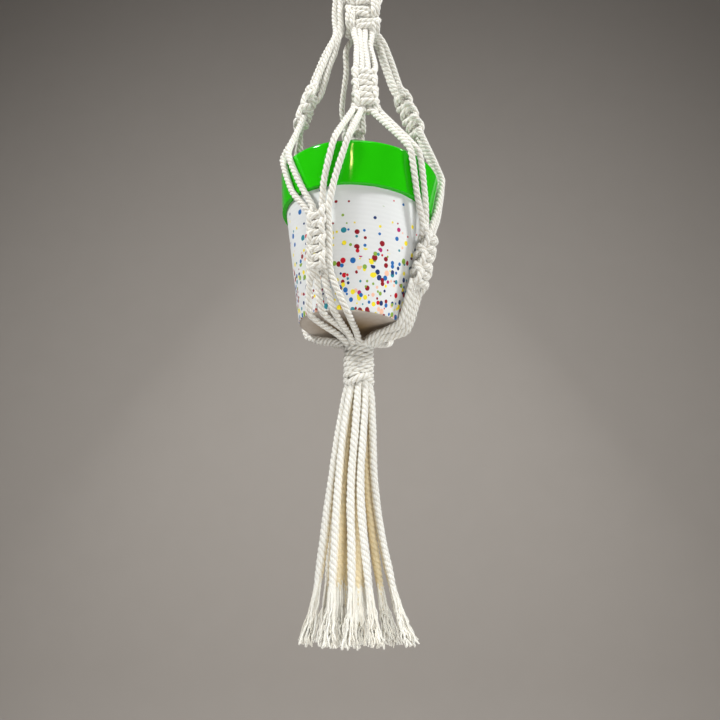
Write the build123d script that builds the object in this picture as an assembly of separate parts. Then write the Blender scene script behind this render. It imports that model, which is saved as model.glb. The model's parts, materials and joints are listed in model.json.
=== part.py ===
from build123d import *
import math
import os

# Hanging macrame planter: knotted cotton cords that carry a small clay pot.
# Frame: origin at the hook seat, the inside top of the hanging ring. +Z is up, -Y is the front,
# and angles round the planter are in degrees from the front, positive towards +X.

# ---- Driving dimensions, millimetres and degrees ----
CORD_D = 4.0
CLEAR = 0.3  # running clearance between cords and what they slide on

RING_OUTER_D = 70.0
RING_SECTION_D = 10.0
BIGHT_COUNT = 8  # cords folded over the ring, so twice as many strands hang from it
BIGHT_R = 7.7  # half the distance between the two legs of a folded cord
BIGHT_SPREAD = 1.06  # the slanting legs stand a little further apart where they enter the knot
BIGHT_LEG = 7.0  # how far below the ring's wire the legs bend towards the top knot
CORD_PITCH = 4.05  # side by side spacing of cords that almost touch

POT_BASE_DROP = 323.0  # hook seat down to the pot's base
POT_BASE_X = -4.75
POT_LEAN = 3.14  # the pot leans towards +X
POT_H = 97.6
POT_BODY_H = 71.5
BASE_R = 31.3
BODY_TOP_R = 44.5
RIM_LOW_R = 47.1
RIM_TOP_R = 50.0
POT_WALL = 5.4
POT_FLOOR = 6.0
DRAIN_R = 5.0
RIM_FILLET = 2.0
SEAT_GAP = 0.6  # pot wall to the nearest side of a taut cord

# Heights above the pot's base, at the hanger's axis
TOP_KNOT_HIGH = 250.0
TOP_KNOT_LOW = 202.0
TOP_KNOT_W = 34.0
TOP_KNOT_T = 20.0

KNOT_W = 16.0
KNOT_T = 11.5
KNOT_COUNT = 3  # square knots in each sinnet
BURIED = 3.0  # how far a cord's end reaches into a knot

LOWER_KNOT_HIGH = 53.0
LOWER_KNOT_LOW = 20.5

WRAP_HIGH = -8.0
WRAP_LOW = -37.0
WRAP_R = 8.6
PIVOT_H = -27.0  # centre of the tassel's swing
DOME_R = 13.6

TASSEL_DEPTHS = [0.0, 26.0, 60.0, 98.0, 131.0]
TASSEL_SWAY = [0.0, -1.6, -4.0, -3.2, -1.0]

# Arms: name, angle, (radius, height) at the top knot, at the arm knot's top and at its bottom
ARMS = {
    "front": (8.0, (8.0, 204.0), (22.5, 162.0), (31.5, 130.0)),
    "right": (104.0, (15.0, 206.0), (28.0, 165.0), (39.5, 136.5)),
    "back": (187.0, (8.0, 204.0), (26.0, 154.0), (35.5, 122.0)),
    "left": (-78.0, (15.5, 204.5), (31.0, 158.0), (37.8, 133.0)),
}

# Lower sinnets: name, angle and the angles where its four cradle cords turn under the base
LOWER_KNOTS = {
    "front_left": (-26.0, (-44.0, -28.0, -15.0, -2.0)),
    "front_right": (63.0, (57.0, 65.5, 77.0, 86.0)),
    "back_right": (151.0, (133.0, 144.5, 157.5, 169.0)),
    "back_left": (-137.0, (-160.0, -149.0, -137.0, -124.5)),
}
WRAP_SLOT_ANGLES = {"front_left": -28.0, "front_right": 62.0, "back_right": 152.0, "back_left": -118.0}

# Rim cords of each arm, left to right as seen from outside: the angles at the rim's top edge and
# at its lower edge, the lower sinnet that the cord joins and its place across that sinnet
RIM_CORDS = {
    "front": [
        (-16.0, -23.0, "front_left", 2),
        (-7.0, -15.5, "front_left", 3),
        (34.0, 44.0, "front_right", 0),
        (42.0, 53.5, "front_right", 1),
    ],
    "right": [
        (82.0, 75.0, "front_right", 2),
        (92.0, 85.0, "front_right", 3),
        (124.0, 134.0, "back_right", 0),
        (132.0, 142.5, "back_right", 1),
    ],
    "back": [
        (166.0, 158.0, "back_right", 2),
        (175.0, 167.0, "back_right", 3),
        (208.0, 212.0, "back_left", 0),
        (217.0, 219.5, "back_left", 1),
    ],
    "left": [
        (-131.0, -135.0, "back_left", 2),
        (-119.0, -125.5, "back_left", 3),
        (-64.5, -51.0, "front_left", 0),
        (-56.0, -40.5, "front_left", 1),
    ],
}

# Tassel strands: (angle, radius) at each of TASSEL_DEPTHS, round the tassel's own centreline
TASSEL_ROUTES = [
    [(-2, 7.6), (-2, 9.0), (-5, 10.4), (-1, 14.2), (-9, 19.5)],
    [(33, 7.6), (27, 9.4), (22, 11.4), (26, 16.0), (24, 21.5)],
    [(65, 7.6), (66, 10.0), (66, 13.6), (66, 19.2), (66, 26.6)],
    [(98, 7.6), (97, 9.7), (95, 12.6), (92, 17.8), (96, 24.6)],
    [(131, 7.6), (132, 9.1), (130, 10.7), (127, 15.5), (128, 21.0)],
    [(164, 7.6), (165, 8.9), (166, 10.4), (163, 14.7), (165, 19.0)],
    [(196, 7.6), (195, 9.0), (199, 10.6), (201, 15.1), (198, 20.4)],
    [(229, 7.6), (230, 9.3), (232, 11.4), (234, 16.5), (232, 22.2)],
    [(262, 7.6), (263, 9.9), (266, 12.5), (268, 17.8), (267, 24.4)],
    [(293, 7.6), (290, 10.6), (293, 12.9), (295, 18.2), (291, 26.0)],
    [(325, 7.6), (314, 9.8), (321, 12.2), (323, 16.5), (321, 22.0)],
    [(16, 3.5), (16, 4.5), (14, 5.4), (18, 7.8), (8, 10.6)],
    [(88, 3.5), (81, 5.1), (75, 8.9), (73, 13.0), (71, 16.9)],
    [(160, 3.5), (162, 4.4), (166, 5.1), (164, 7.4), (158, 9.8)],
    [(232, 3.5), (234, 4.5), (236, 5.5), (240, 8.1), (238, 10.8)],
    [(304, 3.5), (303, 4.7), (306, 6.2), (312, 8.9), (306, 12.0)],
]

# ---- Derived places ----
CORD_R = CORD_D / 2
BASE_Z = -POT_BASE_DROP
RING_R = (RING_OUTER_D - RING_SECTION_D) / 2
RING_Z = -(RING_R - RING_SECTION_D / 2)
PIVOT = Vector(0, 0, BASE_Z + PIVOT_H)
POT_PLACE = Location((POT_BASE_X, 0, BASE_Z), (0, POT_LEAN, 0))
WALL_SLOPE = (BODY_TOP_R - BASE_R) / POT_BODY_H
CORD_LINES = (-1.5 * CORD_PITCH, -0.5 * CORD_PITCH, 0.5 * CORD_PITCH, 1.5 * CORD_PITCH)
SPREAD = 1.2  # cords that leave a knot at a slant stand a little further apart


def around(angle, radius, height, sideways=0.0):
    """A point at this angle and radius from an upright axis, moved sideways along the circle."""
    a = math.radians(angle)
    x = radius * math.sin(a) + sideways * math.cos(a)
    y = -radius * math.cos(a) + sideways * math.sin(a)
    return Vector(x, y, height)


def on_hanger(angle, radius, height, sideways=0.0):
    """A point round the hanger's axis, at a height above the pot's base."""
    return around(angle, radius, BASE_Z + height, sideways)


def on_pot(angle, radius, height, sideways=0.0):
    """A point round the leaning pot's own axis, at a height above its base."""
    local = Location(around(angle, radius, height, sideways))
    return (POT_PLACE * local).position


def turn_at(before, corner, after):
    """The angle by which a route turns at a corner, in radians."""
    return math.radians((corner - before).get_angle(after - corner))


def tube(points, radii, label):
    """A round cord along straight runs joined by tangent arcs."""
    if len(points) == 2:
        route = Line(points[0], points[1])
    else:
        route = FilletPolyline(*points, radius=radii)
    start = Plane(origin=route @ 0, z_dir=route % 0)
    solid = sweep(start * Circle(CORD_R), path=route)
    expected = math.pi * CORD_R**2 * route.length
    turns = ", ".join(f"{r:.0f}" for r in radii)
    print(f"{label}: length {route.length:.1f}, radii [{turns}], volume ratio {solid.volume / expected:.4f}")
    return solid.solid()


def largest_radii(points, largest):
    """The widest arc that each corner's runs allow, up to a limit."""
    radii = []
    for before, corner, after in zip(points, points[1:], points[2:]):
        run = min((corner - before).length, (after - corner).length)
        half_turn = turn_at(before, corner, after) / 2
        radii.append(min(largest, 0.45 * run / math.tan(half_turn)))
    return radii


def write(node, solids):
    """One STEP for one node."""
    shape = solids[0] if len(solids) == 1 else Compound(children=solids)
    export_step(shape, f"parts/{node}.step")


# ---- Hanging ring and the cords folded over it ----
def hanging_ring():
    wire = Torus(RING_R, RING_SECTION_D / 2)
    return [(Pos(0, 0, RING_Z) * Rot(90, 0, 0) * wire).solid()]


def ring_bights():
    """Cords folded side by side over the ring's lowest stretch, their legs down in the top knot."""
    solids = []
    step = math.degrees(CORD_PITCH / (RING_R - BIGHT_R))
    for i in range(BIGHT_COUNT):
        place = i - (BIGHT_COUNT - 1) / 2
        a = math.radians(place * step)
        outwards = Vector(math.sin(a), 0, -math.cos(a))
        seat = Vector(0, 0, RING_Z) + outwards * RING_R
        bend = seat + outwards * BIGHT_LEG
        foot = Vector(place * CORD_PITCH * BIGHT_SPREAD, 0, BASE_Z + TOP_KNOT_HIGH - BURIED)
        leg = Vector(0, BIGHT_R, 0)
        bend_r = 0.45 * BIGHT_LEG / math.tan(turn_at(seat, bend, foot) / 2)
        rise = FilletPolyline(foot - leg, bend - leg, seat - leg, radius=[bend_r])
        fold = ThreePointArc(seat - leg, seat - outwards * BIGHT_R, seat + leg)
        fall = FilletPolyline(seat + leg, bend + leg, foot + leg, radius=[bend_r])
        route = Wire(rise.edges() + fold.edges() + fall.edges())
        start = Plane(origin=foot - leg, z_dir=bend - foot)
        solids.append(sweep(start * Circle(CORD_R), path=route).solid())
    return solids


# ---- Knots ----
def sinnet(width, thickness, length, count):
    """A row of square knots as rounded blocks, centred, running along Z."""
    pitch = length / count
    height = pitch * 1.12
    body = None
    for i in range(count):
        z = (i - (count - 1) / 2) * (length - height) / (count - 1)
        block = Box(width, thickness, height)
        block = fillet(block.edges(), min(height, thickness) * 0.28)
        body = Pos(0, 0, z) * block if body is None else body + Pos(0, 0, z) * block
    return body.solid()


def knot_between(high, low, angle, width, thickness, count):
    """A sinnet that runs from one point to another and faces outwards at this angle."""
    along = (high - low).normalized()
    side = around(angle, 0.0, 0.0, 1.0)
    plane = Plane(origin=(high + low) * 0.5, x_dir=side, z_dir=along)
    return plane.location * sinnet(width, thickness, (high - low).length, count)


def top_knot():
    block = sinnet(TOP_KNOT_W, TOP_KNOT_T, TOP_KNOT_HIGH - TOP_KNOT_LOW, 4)
    return [Pos(0, 0, BASE_Z + (TOP_KNOT_HIGH + TOP_KNOT_LOW) / 2) * block]


def arm_knot(arm):
    angle, _, high, low = ARMS[arm]
    return [knot_between(on_hanger(angle, *high), on_hanger(angle, *low), angle, KNOT_W, KNOT_T, KNOT_COUNT)]


def wall_r(height):
    return BASE_R + WALL_SLOPE * height


def lower_knot_ends(name):
    """Centres of a lower sinnet's top and bottom, against the pot's wall."""
    angle = LOWER_KNOTS[name][0]
    stand_off = KNOT_T / 2 + SEAT_GAP
    return [on_pot(angle, wall_r(h) + stand_off, h) for h in (LOWER_KNOT_HIGH, LOWER_KNOT_LOW)]


def lower_knot(name):
    high, low = lower_knot_ends(name)
    return [knot_between(high, low, LOWER_KNOTS[name][0], KNOT_W, KNOT_T, KNOT_COUNT)]


# ---- Cords between the knots ----
def arm_cords(arm):
    """Four straight cords side by side, from the top knot to the arm's own sinnet."""
    angle, start, high, low = ARMS[arm]
    into_knot = (on_hanger(angle, *low) - on_hanger(angle, *high)).normalized() * BURIED
    solids = []
    for i, sideways in enumerate(CORD_LINES):
        top = on_hanger(angle, *start, sideways)
        bottom = on_hanger(angle, *high, sideways) + into_knot
        solids.append(tube([top, bottom], [], f"arm_cords_{arm} {i}"))
    return solids


def rim_cords(arm):
    """Two cords to each neighbouring lower sinnet, bent over the rim's top edge and down its face."""
    angle, _, high, low = ARMS[arm]
    up = (on_hanger(angle, *high) - on_hanger(angle, *low)).normalized() * BURIED
    over_edge = CORD_R + SEAT_GAP + 0.35
    solids = []
    for i, (top_angle, low_angle, knot, place) in enumerate(RIM_CORDS[arm]):
        knot_angle = LOWER_KNOTS[knot][0]
        stand_off = KNOT_T / 2 + SEAT_GAP
        bury_h = LOWER_KNOT_HIGH - BURIED
        points = [
            on_hanger(angle, *low, CORD_LINES[i] * SPREAD) + up,
            on_pot(top_angle, RIM_TOP_R + over_edge, POT_H + 0.6),
            on_pot(low_angle, RIM_LOW_R + over_edge, POT_BODY_H),
            on_pot(knot_angle, wall_r(bury_h) + stand_off, bury_h, CORD_LINES[place]),
        ]
        radii = largest_radii(points, 2.5 * CORD_D)
        solids.append(tube(points, radii, f"rim_cords_{arm} {i}"))
    return solids


def cradle_cords(name):
    """Four cords from a lower sinnet, round the base's edge and in to the gathering wrap."""
    knot_angle, edge_angles = LOWER_KNOTS[name]
    slot = WRAP_SLOT_ANGLES[name]
    wrap_places = [(slot - 30, 7.8, -4.0), (slot - 15, 3.3, -0.5), (slot, 7.8, -4.0), (slot + 30, 7.8, -4.0)]
    stand_off = KNOT_T / 2 + SEAT_GAP
    start_h = LOWER_KNOT_LOW + BURIED
    solids = []
    for i, edge_angle in enumerate(edge_angles):
        wrap_angle, wrap_r, sink = wrap_places[i]
        points = [
            on_pot(knot_angle, wall_r(start_h) + stand_off, start_h, CORD_LINES[i]),
            on_pot(edge_angle, BASE_R + CORD_R + SEAT_GAP + 0.5, -2.3),
            on_hanger(wrap_angle, wrap_r, WRAP_HIGH + sink),
        ]
        solids.append(tube(points, largest_radii(points, 1.2 * CORD_D), f"cradle_cords_{name} {i}"))
    return solids


def gathering_wrap():
    """The binding round all the strands under the pot. Its domed end is where the tassel swings."""
    length = WRAP_HIGH - WRAP_LOW + 4.0
    barrel = Pos(0, 0, BASE_Z + WRAP_HIGH - length / 2) * Cylinder(WRAP_R, length)
    barrel = fillet(barrel.edges().group_by(Axis.Z)[-1], 2.0)
    dome = Pos(*PIVOT) * Sphere(DOME_R)
    above_pivot = Pos(0, 0, PIVOT.Z + length / 2) * Cylinder(2 * WRAP_R, length)
    return [(barrel & (dome + above_pivot)).solid()]


def tassel_strand(index):
    """One loose strand under the wrap; its top follows the dome, clear of it."""
    points = []
    for depth, sway, (angle, radius) in zip(TASSEL_DEPTHS, TASSEL_SWAY, TASSEL_ROUTES[index]):
        points.append(on_hanger(angle, radius, WRAP_LOW - depth) + Vector(sway, 0, 0))
    solid = tube(points, largest_radii(points, 400.0), f"tassel_strand_{index + 1:02d}")
    above = Line(points[0] + (points[0] - points[1]).normalized() * 6, points[0])
    cap = sweep(Plane(origin=above @ 0, z_dir=above % 0) * Circle(CORD_R), path=above)
    return [(solid + cap - Pos(*PIVOT) * Sphere(DOME_R + CLEAR)).solid()]


# ---- Clay pot ----
def clay_pot():
    """A turned pot with a tall rim, a step inside under the rim and a drain hole."""
    inner_rim_r = RIM_LOW_R - POT_WALL
    outline = Polyline(
        (DRAIN_R, 0),
        (BASE_R, 0),
        (BODY_TOP_R, POT_BODY_H),
        (RIM_LOW_R, POT_BODY_H),
        (RIM_TOP_R, POT_H),
        (RIM_TOP_R - POT_WALL, POT_H),
        (inner_rim_r, POT_BODY_H + POT_WALL),
        (BODY_TOP_R - POT_WALL, POT_BODY_H),
        (BASE_R - POT_WALL + POT_FLOOR * WALL_SLOPE, POT_FLOOR),
        (DRAIN_R, POT_FLOOR),
        close=True,
    )
    section = make_face(Plane.XZ * outline)
    pot = revolve(section, Axis.Z)
    rims = pot.edges().filter_by(GeomType.CIRCLE)
    top = [e for e in rims if abs(e.center().Z - POT_H) < 0.01]
    base = [e for e in rims if abs(e.center().Z) < 0.01 and e.radius > DRAIN_R + 1]
    pot = fillet(top + base, RIM_FILLET)
    return [(POT_PLACE * pot).solid()]


os.makedirs("parts", exist_ok=True)
write("hanging_ring", hanging_ring())
write("ring_bights", ring_bights())
write("top_knot", top_knot())
for arm_name in ARMS:
    write(f"arm_cords_{arm_name}", arm_cords(arm_name))
    write(f"arm_knot_{arm_name}", arm_knot(arm_name))
    write(f"rim_cords_{arm_name}", rim_cords(arm_name))
for knot_name in LOWER_KNOTS:
    write(f"lower_knot_{knot_name}", lower_knot(knot_name))
    write(f"cradle_cords_{knot_name}", cradle_cords(knot_name))
write("gathering_wrap", gathering_wrap())
for strand in range(len(TASSEL_ROUTES)):
    write(f"tassel_strand_{strand + 1:02d}", tassel_strand(strand))
write("clay_pot", clay_pot())
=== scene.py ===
import json
import math

import bpy
import numpy as np
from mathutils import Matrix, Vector


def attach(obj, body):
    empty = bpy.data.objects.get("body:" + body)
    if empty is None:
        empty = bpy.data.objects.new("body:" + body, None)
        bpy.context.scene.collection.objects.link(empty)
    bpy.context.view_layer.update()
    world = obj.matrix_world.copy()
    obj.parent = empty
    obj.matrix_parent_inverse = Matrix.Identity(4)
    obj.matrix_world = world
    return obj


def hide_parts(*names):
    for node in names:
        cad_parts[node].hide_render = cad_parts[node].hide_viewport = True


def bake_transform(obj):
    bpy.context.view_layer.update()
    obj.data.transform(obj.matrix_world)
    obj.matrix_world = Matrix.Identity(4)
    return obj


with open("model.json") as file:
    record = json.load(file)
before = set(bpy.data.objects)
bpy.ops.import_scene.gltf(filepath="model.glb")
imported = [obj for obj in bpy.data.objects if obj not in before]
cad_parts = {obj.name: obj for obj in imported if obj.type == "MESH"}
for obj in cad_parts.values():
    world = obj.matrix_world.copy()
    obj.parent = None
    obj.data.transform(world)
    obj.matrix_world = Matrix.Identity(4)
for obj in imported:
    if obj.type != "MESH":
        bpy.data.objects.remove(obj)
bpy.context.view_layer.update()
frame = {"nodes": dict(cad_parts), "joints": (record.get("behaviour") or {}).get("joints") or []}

# Hanging macrame planter. Lengths are in millimetres until a mesh is written, angles in degrees
# from the front (-Y), positive towards +X, as in the CAD source.
MM = 0.001
rng = np.random.default_rng(29)

# ---- Places read from the frame ----
JOINTS = {j["name"]: j for j in frame["joints"]}
POT_BASE = np.array(JOINTS["pot_spin"]["pos_m"]) / MM
POT_AXIS = np.array(JOINTS["pot_spin"]["axis"], float)
RING_CENTRE = np.array(JOINTS["ring_swivel"]["pos_m"]) / MM
BASE_Z = POT_BASE[2]
POT_LEAN = math.degrees(math.atan2(POT_AXIS[0], POT_AXIS[2]))

# ---- Driving dimensions ----
CORD_D = 4.0
CORD_R = CORD_D / 2
PLY_PITCH = 9.8  # one full turn of the three plies
RING_R = 30.0
BIGHT_R = 7.7
BIGHT_LEG = 7.0
BIGHT_SPREAD = 1.06
BIGHT_COUNT = 8
CORD_PITCH = 4.05
SPREAD = 1.2
POT_H = 97.6
POT_BODY_H = 71.5
BASE_R = 31.3
BODY_TOP_R = 44.5
RIM_LOW_R = 47.1
RIM_TOP_R = 50.0
WALL_SLOPE = (BODY_TOP_R - BASE_R) / POT_BODY_H
SEAT_GAP = 0.6
KNOT_T = 11.5
TOP_KNOT_TIED_HIGH = 247.0
TOP_KNOT_TIED_LENGTH = 40.0
LOWER_KNOT_HIGH = 53.0
LOWER_KNOT_LOW = 20.5
WRAP_HIGH = -8.0
WRAP_LOW = -37.0
WRAP_R = 8.6
CORD_LINES = (-1.5 * CORD_PITCH, -0.5 * CORD_PITCH, 0.5 * CORD_PITCH, 1.5 * CORD_PITCH)

# Arms: angle, (radius, height) at the top knot, at the arm knot's top and at its bottom
ARMS = {
    "front": (8.0, (8.0, 204.0), (22.5, 162.0), (31.5, 130.0)),
    "right": (104.0, (15.0, 206.0), (28.0, 165.0), (39.5, 136.5)),
    "back": (187.0, (8.0, 204.0), (26.0, 154.0), (35.5, 122.0)),
    "left": (-78.0, (15.5, 204.5), (31.0, 158.0), (37.8, 133.0)),
}
LOWER_KNOTS = {
    # The knot's angle and the angles at which its four cords pass the edge of the base
    "front_left": (-26.0, (-44.0, -28.0, -15.0, -2.0)),
    "front_right": (63.0, (57.0, 65.5, 77.0, 86.0)),
    "back_right": (151.0, (133.0, 144.5, 157.5, 169.0)),
    "back_left": (-137.0, (-160.0, -149.0, -137.0, -124.5)),
}
WRAP_SLOT_ANGLES = {"front_left": -28.0, "front_right": 62.0, "back_right": 152.0, "back_left": -118.0}
RIM_CORDS = {
    "front": [
        (-16.0, -23.0, "front_left", 2),
        (-7.0, -15.5, "front_left", 3),
        (34.0, 44.0, "front_right", 0),
        (42.0, 53.5, "front_right", 1),
    ],
    "right": [
        (82.0, 75.0, "front_right", 2),
        (92.0, 85.0, "front_right", 3),
        (124.0, 134.0, "back_right", 0),
        (132.0, 142.5, "back_right", 1),
    ],
    "back": [
        (166.0, 158.0, "back_right", 2),
        (175.0, 167.0, "back_right", 3),
        (208.0, 212.0, "back_left", 0),
        (217.0, 219.5, "back_left", 1),
    ],
    "left": [
        (-131.0, -135.0, "back_left", 2),
        (-119.0, -125.5, "back_left", 3),
        (-64.5, -51.0, "front_left", 0),
        (-56.0, -40.5, "front_left", 1),
    ],
}
TASSEL_DEPTHS = [0.0, 26.0, 60.0, 98.0, 131.0]
TASSEL_SWAY = [0.0, -1.6, -4.0, -3.2, -1.0]
TASSEL_ROUTES = [
    [(-2, 7.6), (-2, 9.0), (-5, 10.4), (-1, 14.2), (-9, 19.5)],
    [(33, 7.6), (27, 9.4), (22, 11.4), (26, 16.0), (24, 21.5)],
    [(65, 7.6), (66, 10.0), (66, 13.6), (66, 19.2), (66, 26.6)],
    [(98, 7.6), (97, 9.7), (95, 12.6), (92, 17.8), (96, 24.6)],
    [(131, 7.6), (132, 9.1), (130, 10.7), (127, 15.5), (128, 21.0)],
    [(164, 7.6), (165, 8.9), (166, 10.4), (163, 14.7), (165, 19.0)],
    [(196, 7.6), (195, 9.0), (199, 10.6), (201, 15.1), (198, 20.4)],
    [(229, 7.6), (230, 9.3), (232, 11.4), (234, 16.5), (232, 22.2)],
    [(262, 7.6), (263, 9.9), (266, 12.5), (268, 17.8), (267, 24.4)],
    [(293, 7.6), (290, 10.6), (293, 12.9), (295, 18.2), (291, 26.0)],
    [(325, 7.6), (314, 9.8), (321, 12.2), (323, 16.5), (321, 22.0)],
    [(16, 3.5), (16, 4.5), (14, 5.4), (18, 7.8), (8, 10.6)],
    [(88, 3.5), (81, 5.1), (75, 8.9), (73, 13.0), (71, 16.9)],
    [(160, 3.5), (162, 4.4), (166, 5.1), (164, 7.4), (158, 9.8)],
    [(232, 3.5), (234, 4.5), (236, 5.5), (240, 8.1), (238, 10.8)],
    [(304, 3.5), (303, 4.7), (306, 6.2), (312, 8.9), (306, 12.0)],
]


# ---- Places ----
def around(angle, radius, height, sideways=0.0):
    """A point at this angle and radius from an upright axis, moved sideways along the circle."""
    a = math.radians(angle)
    x = radius * math.sin(a) + sideways * math.cos(a)
    y = -radius * math.cos(a) + sideways * math.sin(a)
    return np.array([x, y, height])


def on_hanger(angle, radius, height, sideways=0.0):
    return around(angle, radius, BASE_Z + height, sideways)


def on_pot(angle, radius, height, sideways=0.0):
    x, y, z = around(angle, radius, height, sideways)
    lean = math.radians(POT_LEAN)
    turned = np.array([
        x * math.cos(lean) + z * math.sin(lean),
        y,
        -x * math.sin(lean) + z * math.cos(lean),
    ])
    return POT_BASE + turned


def wall_r(height):
    return BASE_R + WALL_SLOPE * height


def unit(v):
    return v / np.linalg.norm(v)


# ---- Lines ----
def smooth_line(points):
    """Points along one smooth NURBS line with these control points."""
    curve = bpy.data.curves.new("line", "CURVE")
    curve.dimensions = "3D"
    curve.resolution_u = 16
    spline = curve.splines.new("NURBS")
    spline.points.add(len(points) - 1)
    for target, point in zip(spline.points, points):
        target.co = (*point, 1.0)
    spline.order_u = 3
    spline.use_endpoint_u = True
    holder = bpy.data.objects.new("line", curve)
    mesh = bpy.data.meshes.new_from_object(holder)
    line = np.array([v.co for v in mesh.vertices])
    bpy.data.objects.remove(holder)
    bpy.data.curves.remove(curve)
    bpy.data.meshes.remove(mesh)
    return line


def even_steps(line, step):
    """The same line with evenly spaced points."""
    gaps = np.linalg.norm(np.diff(line, axis=0), axis=1)
    keep = np.concatenate([[True], gaps > 1e-6])
    line = line[keep]
    along = np.concatenate([[0.0], np.cumsum(np.linalg.norm(np.diff(line, axis=0), axis=1))])
    count = max(2, int(round(along[-1] / step)) + 1)
    wanted = np.linspace(0.0, along[-1], count)
    return np.stack([np.interp(wanted, along, line[:, k]) for k in range(3)], axis=1), wanted


def carried_frames(line):
    """Two directions across the line at each point, carried along it without twisting."""
    tangents = np.gradient(line, axis=0)
    tangents /= np.linalg.norm(tangents, axis=1)[:, None]
    first = np.cross(tangents[0], [0.0, 0.0, 1.0])
    if np.linalg.norm(first) < 0.2:
        first = np.cross(tangents[0], [0.0, 1.0, 0.0])
    normal = unit(first)
    normals = np.empty_like(line)
    for i, tangent in enumerate(tangents):
        normal = unit(normal - tangent * float(normal @ tangent))
        normals[i] = normal
    return normals, np.cross(tangents, normals)


def turned_by_corner(points, index, reach):
    """The route with one corner split into two points, each this far from it."""
    before, corner, after = points[index - 1], points[index], points[index + 1]
    pair = [corner + unit(before - corner) * reach, corner + unit(after - corner) * reach]
    return points[:index] + pair + points[index + 1:]


# ---- Rope meshes ----
PLY_COUNT = 3
PLY_OFFSET = 0.36  # a ply's centre and its radius, as shares of the cord's radius
PLY_RADIUS = 0.64
VERTS_ROUND = 24


def ply_outline(count):
    """Radius round a three-ply section at this many angles, and how deep each lies in a groove."""
    theta = np.linspace(0.0, 2 * math.pi, count, endpoint=False)
    sector = 2 * math.pi / PLY_COUNT
    off = (theta + sector / 2) % sector - sector / 2
    inside = np.maximum(PLY_RADIUS**2 - (PLY_OFFSET * np.sin(off)) ** 2, 0.0)
    radius = PLY_OFFSET * np.cos(off) + np.sqrt(inside)
    depth = (1.0 - radius) / (1.0 - radius.min())
    return theta, radius, depth


class MeshParts:
    """Collects rings of vertices into one mesh, with a UV map and two values at each vertex.

    These are how deep it lies in a groove between the plies, and how much painted warm shade it gets, as
    deep in a bundle.
    """

    def __init__(self):
        self.verts = []
        self.faces = []
        self.uvs = []
        self.grooves = []
        self.bundle_shades = []
        self.count = 0

    def add_tube(self, rings, u_values, v_values, grooves, bundle_shades=0.0):
        """rings: (n, m, 3). Closes both ends with a cap."""
        n, m = rings.shape[:2]
        base = self.count
        self.verts.append(rings.reshape(-1, 3))
        self.grooves.append(grooves.reshape(-1))
        self.bundle_shades.append((grooves * 0.0 + bundle_shades).reshape(-1))
        i, j = np.meshgrid(np.arange(n - 1), np.arange(m), indexing="ij")
        k = (j + 1) % m
        low, high = base + i * m, base + (i + 1) * m
        quads = np.stack([low + j, low + k, high + k, high + j], axis=-1)
        self.faces.extend(quads.reshape(-1, 4).tolist())
        u_left = u_values[j]
        u_right = np.where(k == 0, u_values[0] + 1.0, u_values[k])
        v_low = v_values[i]
        v_high = v_values[i + 1]
        uv = np.stack([
            np.stack([u_left, v_low], -1),
            np.stack([u_right, v_low], -1),
            np.stack([u_right, v_high], -1),
            np.stack([u_left, v_high], -1),
        ], axis=2)
        self.uvs.append(uv.reshape(-1, 2))
        first = [base + q for q in range(m)]
        last = [base + (n - 1) * m + q for q in range(m)]
        self.faces.append(first[::-1])
        self.faces.append(last)
        self.uvs.append(np.stack([u_values[::-1], np.full(m, v_values[0])], -1))
        self.uvs.append(np.stack([u_values, np.full(m, v_values[-1])], -1))
        self.count += n * m

    def build(self, name):
        verts = np.concatenate(self.verts) * MM
        mesh = bpy.data.meshes.new(name)
        mesh.from_pydata(verts.tolist(), [], self.faces)
        layer = mesh.uv_layers.new(name="cord")
        layer.data.foreach_set("uv", np.concatenate(self.uvs).astype(np.float32).ravel())
        for attribute, values in (("groove", self.grooves), ("bundle_shade", self.bundle_shades)):
            held = mesh.attributes.new(attribute, "FLOAT", "POINT")
            held.data.foreach_set("value", np.concatenate(values).astype(np.float32))
        mesh.polygons.foreach_set("use_smooth", [True] * len(mesh.polygons))
        mesh.update()
        piece = bpy.data.objects.new(name, mesh)
        bpy.context.collection.objects.link(piece)
        return piece


def add_rope(parts, control, radius=CORD_R, step=0.9, squeeze=None, axis=None, bundle_shade=0.0, slack=0.0):
    """A three-ply cord along a smooth line. squeeze gives a width factor for each share of it.

    Where axis is given, the side turned towards that upright line gets painted warm shade, as deep in a
    bundle.
    slack flattens the plies, as in a loose end that has begun to open.
    """
    line, along = even_steps(smooth_line(control), step)
    normals, binormals = carried_frames(line)
    theta, outline, depth = ply_outline(VERTS_ROUND)
    outline = outline + (0.96 - outline) * slack
    depth = depth * (1.0 - 0.75 * slack)
    phase = rng.uniform(0, 2 * math.pi)
    uneven = 1.0 + 0.025 * np.sin(along / 7.3 + phase) + 0.02 * np.sin(along / 3.1 + 2 * phase)
    if squeeze is not None:
        uneven = uneven * squeeze(along / along[-1])
    turn = phase - 2 * math.pi * along / PLY_PITCH
    angle = theta[None, :] + turn[:, None]
    reach = radius * outline[None, :] * uneven[:, None]
    rings = (
        line[:, None, :]
        + (reach * np.cos(angle))[..., None] * normals[:, None, :]
        + (reach * np.sin(angle))[..., None] * binormals[:, None, :]
    )
    grooves = np.broadcast_to(depth, reach.shape)
    bundle_shades = np.full(reach.shape, bundle_shade)
    if axis is not None:
        inwards = axis[None, :2] - line[:, :2]
        inwards /= np.maximum(np.linalg.norm(inwards, axis=1), 1e-6)[:, None]
        outwards_of_cord = (rings - line[:, None, :])[..., :2] / radius
        facing = np.einsum("nmk,nk->nm", outwards_of_cord, inwards)
        bundle_shades = np.clip(bundle_shades + np.clip(facing + 0.15, 0.0, 1.0), 0.0, 1.0)
    parts.add_tube(rings, theta / (2 * math.pi), along + 37.0 * phase, grooves, bundle_shades)
    add_fuzz(parts, line, rings, FUZZ_STEP * (1.0 - slack))
    return line


FUZZ_STEP = 1.3  # mm of cord for each loose fibre
FUZZ_R = 0.05
FUZZ_REACH = 0.75


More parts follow.
